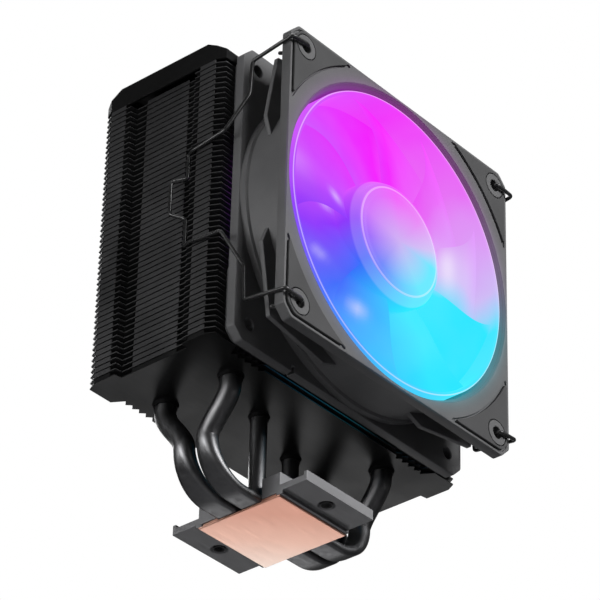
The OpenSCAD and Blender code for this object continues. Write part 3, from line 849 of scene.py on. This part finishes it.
def build_blades():
    shape, made = Shape(), blade()
    for k in range(BLADES):
        turn = Matrix.Translation((0, 0, FAN_Z)) @ Matrix.Rotation(2 * math.pi * k / BLADES, 4, "Y")
        shape.add(moved(made, turn))
    obj = piece("impeller_blade_set", shape, "rotor", [MATERIALS["blade_translucent"]],
                ["impeller_blades"], sharp=50)
    # the light attribute holds the strength of the painted highlights at each point
    layer = obj.data.attributes.new("light", "FLOAT", "POINT")
    layer.data.foreach_set("value", [painted_highlight_at(v) for v in shape.verts])


def build_hub():
    front, back = HUB_LOW.y, HUB_HIGH.y
    inner, seat = HUB_R - 2.98, CAP_R - 2.1
    outside = [(CAP_R + 0.1, front + 0.1), (21.3, front), (21.9, front + 0.35), (23.1, front + 2.2),
               (23.7, front + 3.4), (HUB_R, front + 5.2), (HUB_R, back - 0.4), (HUB_R - 0.4, back)]
    inside = [(inner, back), (inner, front + 1.9), (seat, front + 1.9), (seat, front + 0.5),
              (CAP_R + 0.1, front + 0.5)]
    piece("impeller_cup", Shape().add(fan_lathe(outside + inside, 160)), "rotor",
          [MATERIALS["rotor_cup"]], ["impeller_hub"])


def build_cap():
    """The cap in the hub's face, nearly flat, with a bead near its edge that glows whiter: a painted
    highlight ring.
    """
    low, high = (corner.y for corner in box_mm("hub_cap"))
    face = [(0.02, low), (6, low + 0.02), (12, low + 0.07), (17.5, low + 0.15), (18.8, low + 0.22)]
    groove = [(19.15, low + 0.45), (19.5, low + 0.24), (20.3, low + 0.28)]
    back = [(CAP_R, low + 0.6), (CAP_R, low + 0.85), (18.5, low + 0.95), (18.5, high), (0.02, high)]
    bead = [(19.9, low + 0.22), (20.25, low + 0.10), (20.6, low + 0.34), (20.55, low + 0.7),
            (20.0, low + 0.6)]
    shape = Shape().add(fan_lathe(face + groove + back, 160)).add(fan_lathe(bead, 160), 1)
    piece("impeller_cap", shape, "rotor", [MATERIALS["cap_translucent"], MATERIALS["rotor_rim"]],
          ["hub_cap"])


def build_ring():
    front, back = RING_LOW.y, RING_HIGH.y
    shape = Shape()
    wall = [(RING_IN, front + 0.8), (RING_IN + 0.2, front + 0.25), (RING_IN + 0.8, front + 0.05),
            (RING_R - 0.2, front + 0.2), (RING_R, front + 0.7), (RING_R, back - 0.4),
            (RING_R - 0.4, back), (RING_IN + 0.4, back), (RING_IN, back - 0.4)]
    # the lip takes the rim's whiter glow: a painted highlight line round the band's front edge
    lip = [(RING_R - 0.62, front + 0.25), (RING_R - 0.50, front + 0.02), (RING_R - 0.28, front),
           (RING_R - 0.12, front + 0.25)]
    shape.add(fan_lathe(wall, 192)).add(fan_lathe(lip, 192), 1)
    piece("impeller_band", shape, "rotor", [MATERIALS["rotor_translucent"], MATERIALS["rotor_rim"]],
          ["impeller_ring"])


# ---------------------------------------------------------------- heat pipes

PIPE_R, FLAT_W, FLAT_H = 3.78, 9.7, 3.6
LEG_X, LEG_Y, BEND_R = 39.6, 14.8, 15.0
PLATE_T = 0.6
FLAT_Y = FLAT_W / 2 + 0.05
PIPE_Z = PLATE_T + FLAT_H / 2
SWAY_END = FIN_LOW.z - 3.2
PIPE_TOP = box_mm("heat_pipe_front")[1].z
BEND_START = LEG_X - BEND_R
BEND_END = BEND_START + BEND_R * math.pi / 2
BRANCH_X, BRANCH_R = 13.95, 3.0
ARM_HOLE_Y = 24.05


def ease(t):
    t = min(max(t, 0.0), 1.0)
    return t * t * (3 - 2 * t)


def pipe_centre(s):
    """Centre of the right half of a pipe, s millimetres from the middle of the base."""
    a = min(max((s - BEND_START) / BEND_R, 0), math.pi / 2)
    up = max(s - BEND_END, 0)
    reach = SWAY_END - PIPE_Z - BEND_R
    return Vector((s if s < BEND_START else BEND_START + BEND_R * math.sin(a),
                   FLAT_Y + (LEG_Y - FLAT_Y) * ease((up + 2) / (reach + 2)),
                   PIPE_Z + BEND_R * (1 - math.cos(a)) + up))


def pipe_ring(s, shrink, sides=16):
    """The pipe's outline there: flat in the base, then round, and smaller near its tips."""
    a = min(max((s - BEND_START) / BEND_R, 0), math.pi / 2)
    along = (pipe_centre(s + 0.05) - pipe_centre(s - 0.05)).normalized()
    side = Vector((-math.sin(a), 0, math.cos(a))).cross(along).normalized()
    out = along.cross(side)
    k = ease((s - BEND_START - 5) / (BEND_END - BEND_START - 2))
    wide = (FLAT_W / 2 + (PIPE_R - FLAT_W / 2) * k) * shrink
    tall = (FLAT_H / 2 + (PIPE_R - FLAT_H / 2) * k) * shrink
    centre, shift = pipe_centre(s), max(wide - tall, 0.0)
    ring = []
    for half, sign in ((0, 1), (1, -1)):
        for j in range(sides + 1):
            t = math.radians(-90 + 180 * half + 180 * j / sides)
            aside = sign * shift + tall * math.cos(t)
            ring.append(centre + side * aside + out * tall * math.sin(t))
    return ring


def build_pipes():
    length = BEND_END + PIPE_TOP - PIPE_Z - BEND_R
    steps = [(0, 1), (12, 1), (BEND_START - 4, 1)]
    steps += [(BEND_START + k * (BEND_END - BEND_START) / 22, 1) for k in range(23)]
    steps += [(BEND_END + k * (SWAY_END - PIPE_Z - BEND_R) / 22, 1) for k in range(1, 23)]
    steps += [(length - 6, 1), (length - 4.6, 0.97), (length - 3.2, 0.86), (length - 1.6, 0.62),
              (length, 0.3)]
    half = [pipe_ring(s, k) for s, k in steps]
    other = [[Vector((-p.x, p.y, p.z)) for p in ring] for ring in reversed(half[1:])]
    rings = other + half
    for name, node, sign in (("pipe_front", "heat_pipe_front", -1), ("pipe_rear", "heat_pipe_rear", 1)):
        turned = [[Vector((p.x, sign * p.y, p.z)) for p in ring] for ring in rings]
        piece(name, Shape().add(tube(turned)), "tower", [MATERIALS["pipe_nickel"]],
              [node], sharp=60)


def build_branches():
    foot = PIPE_Z + FLAT_H / 2
    fillet = [(BRANCH_R + 1.0 * (1 - math.sin(t)) ** 1.5, foot + 1.4 * (1 - math.cos(t)))
              for t in (math.radians(a) for a in range(0, 91, 15))]
    top = [(BRANCH_R, PIPE_TOP - 3), (BRANCH_R * 0.92, PIPE_TOP - 1.8),
           (BRANCH_R * 0.7, PIPE_TOP - 0.8), (BRANCH_R * 0.4, PIPE_TOP)]
    for name, node, sign in (("branch_front", "centre_branch_front", -1),
                             ("branch_rear", "centre_branch_rear", 1)):
        shape = Shape().add(moved(lathe(fillet + top, 48, closed=False),
                                  Matrix.Translation((sign * BRANCH_X, sign * FLAT_Y, 0))))
        piece(name, shape, "tower", [MATERIALS["pipe_nickel"]], [node], sharp=50)


def build_collars():
    """Rims pressed down out of the lowest fin round each upright."""
    shape = Shape()
    low, high = box_mm("pipe_collars")
    spots = [(sx * LEG_X, sy * LEG_Y, PIPE_R + 0.08) for sx, sy in QUARTERS]
    spots += [(s * BRANCH_X, s * FLAT_Y, BRANCH_R + 0.06) for s in (1, -1)]
    for x, y, r in spots:
        profile = [(r, low.z + 0.1), (r + 0.1, low.z), (r + 0.28, low.z), (r + 0.36, low.z + 0.1),
                   (r + 0.38, high.z - 0.75), (r + 0.5, high.z - 0.25), (r + 0.8, high.z), (r, high.z)]
        shape.add(moved(lathe(profile, 56), Matrix.Translation((x, y, 0))))
    # the collars take the near-black cover finish, darker than the fin they are pressed from: painted
    # shade round the uprights
    piece("fin_collars", shape, "tower", [MATERIALS["cover_black"]], ["pipe_collars"])


THREAD_LOW, THREAD_HIGH = 1.95, 4.35
THREAD_OUT, THREAD_ROOT, THREAD_CREST = 2.13, 1.95, 1.68
THREAD_TURNS, THREAD_PITCH = 5, 0.46


def build_arm_threads():
    """Threads in the two holes of the base's arms, black as painted shade inside the holes."""
    steps = []
    for k in range(THREAD_TURNS):
        z = THREAD_LOW + 0.05 + THREAD_PITCH * k
        steps += [(THREAD_ROOT, z), (THREAD_CREST, z + THREAD_PITCH / 2)]
    profile = [(THREAD_OUT, THREAD_LOW), (THREAD_ROOT, THREAD_LOW)] + steps
    profile += [(THREAD_ROOT, THREAD_HIGH), (THREAD_OUT, THREAD_HIGH)]
    shape = Shape()
    for s in (1, -1):
        place = Matrix.Translation((0, s * ARM_HOLE_Y, 0))
        shape.add(moved(lathe(profile[::-1], 40), place))
    # the threads' black is painted shade that darkens the holes
    piece("arm_threads", shape, "tower", [MATERIALS["black_plastic"]])


# ---------------------------------------------------------------- wire clips

WIRE_R = 0.7
FIN_PITCH, FIN_T = 2.24, 0.4
# the gap between fins, counted from the lowest, that the upper and the lower arm enters
CLIP_GAPS = {1: 34, -1: 17}


def clip_corners():
    """The left clip's corners, from its upper hook to its lower one."""
    front_y, side_x, ear_x = FRONT - 1.8, FAN_HALF + 1.2, FIN_HIGH.x + 1.1
    groove, tab = (-64.3, -14.0), (-67.2, -9.0)
    first_gap = FIN_LOW.z + (FIN_T + FIN_PITCH) / 2 - FAN_Z
    cross = {s: first_gap + gaps * FIN_PITCH for s, gaps in CLIP_GAPS.items()}

    def arm(s):
        return [
            (-HOLE - 3.3, FRONT + 8.7, s * (HOLE - 0.1)), (-HOLE, FRONT + 5.1, s * (HOLE + 0.3)),
            (-HOLE, front_y, s * HOLE), (-side_x, front_y, s * (HOLE - 0.6)),
            (-side_x, -39.2, s * 49.4), (-side_x, -38.5, s * 35.5), (-ear_x, -31.5, s * 20.8),
            (-ear_x, -16.8, cross[s]), (*groove, cross[s])]

    finger = [(*groove, 8.8), (*tab, 8.0), (*tab, -5.2), (*groove, -7.6)]
    return [Vector((x, y, z + FAN_Z)) for x, y, z in arm(1) + finger + arm(-1)[::-1]]


def bent(corners, reach=1.3, steps=7):
    """The path through the corners, each one rounded."""
    path = [corners[0]]
    for a, b, c in zip(corners, corners[1:], corners[2:]):
        start = b + (a - b).normalized() * min(reach, (a - b).length * 0.45)
        end = b + (c - b).normalized() * min(reach, (c - b).length * 0.45)
        path += [start * (1 - t) ** 2 + b * 2 * t * (1 - t) + end * t * t
                 for t in (k / steps for k in range(steps + 1))]
    return path + [corners[-1]]


def build_clips():
    path = bent(clip_corners())
    for name, node, body, sign in (("clip_wire_left", "wire_clip_left", "clip_left", 1),
                                   ("clip_wire_right", "wire_clip_right", "clip_right", -1)):
        turned = [Vector((sign * p.x, p.y, p.z)) for p in path]
        piece(name, Shape().add(sweep(turned, WIRE_R, 14)), body, [MATERIALS["spring_wire"]],
              [node], sharp=60)


# ---------------------------------------------------------------- all of it

make_camera()
make_world()
make_floor()
make_lights()
dress_cad_nodes()
for node, width in (("base_block", 0.28), ("copper_base_plate", 0.12), ("top_cover", 0.5)):
    soften(node, width)
build_fan_frame()
build_pads()
build_hub()
build_cap()
build_blades()
build_ring()
build_pipes()
build_branches()
build_collars()
build_arm_threads()
build_clips()
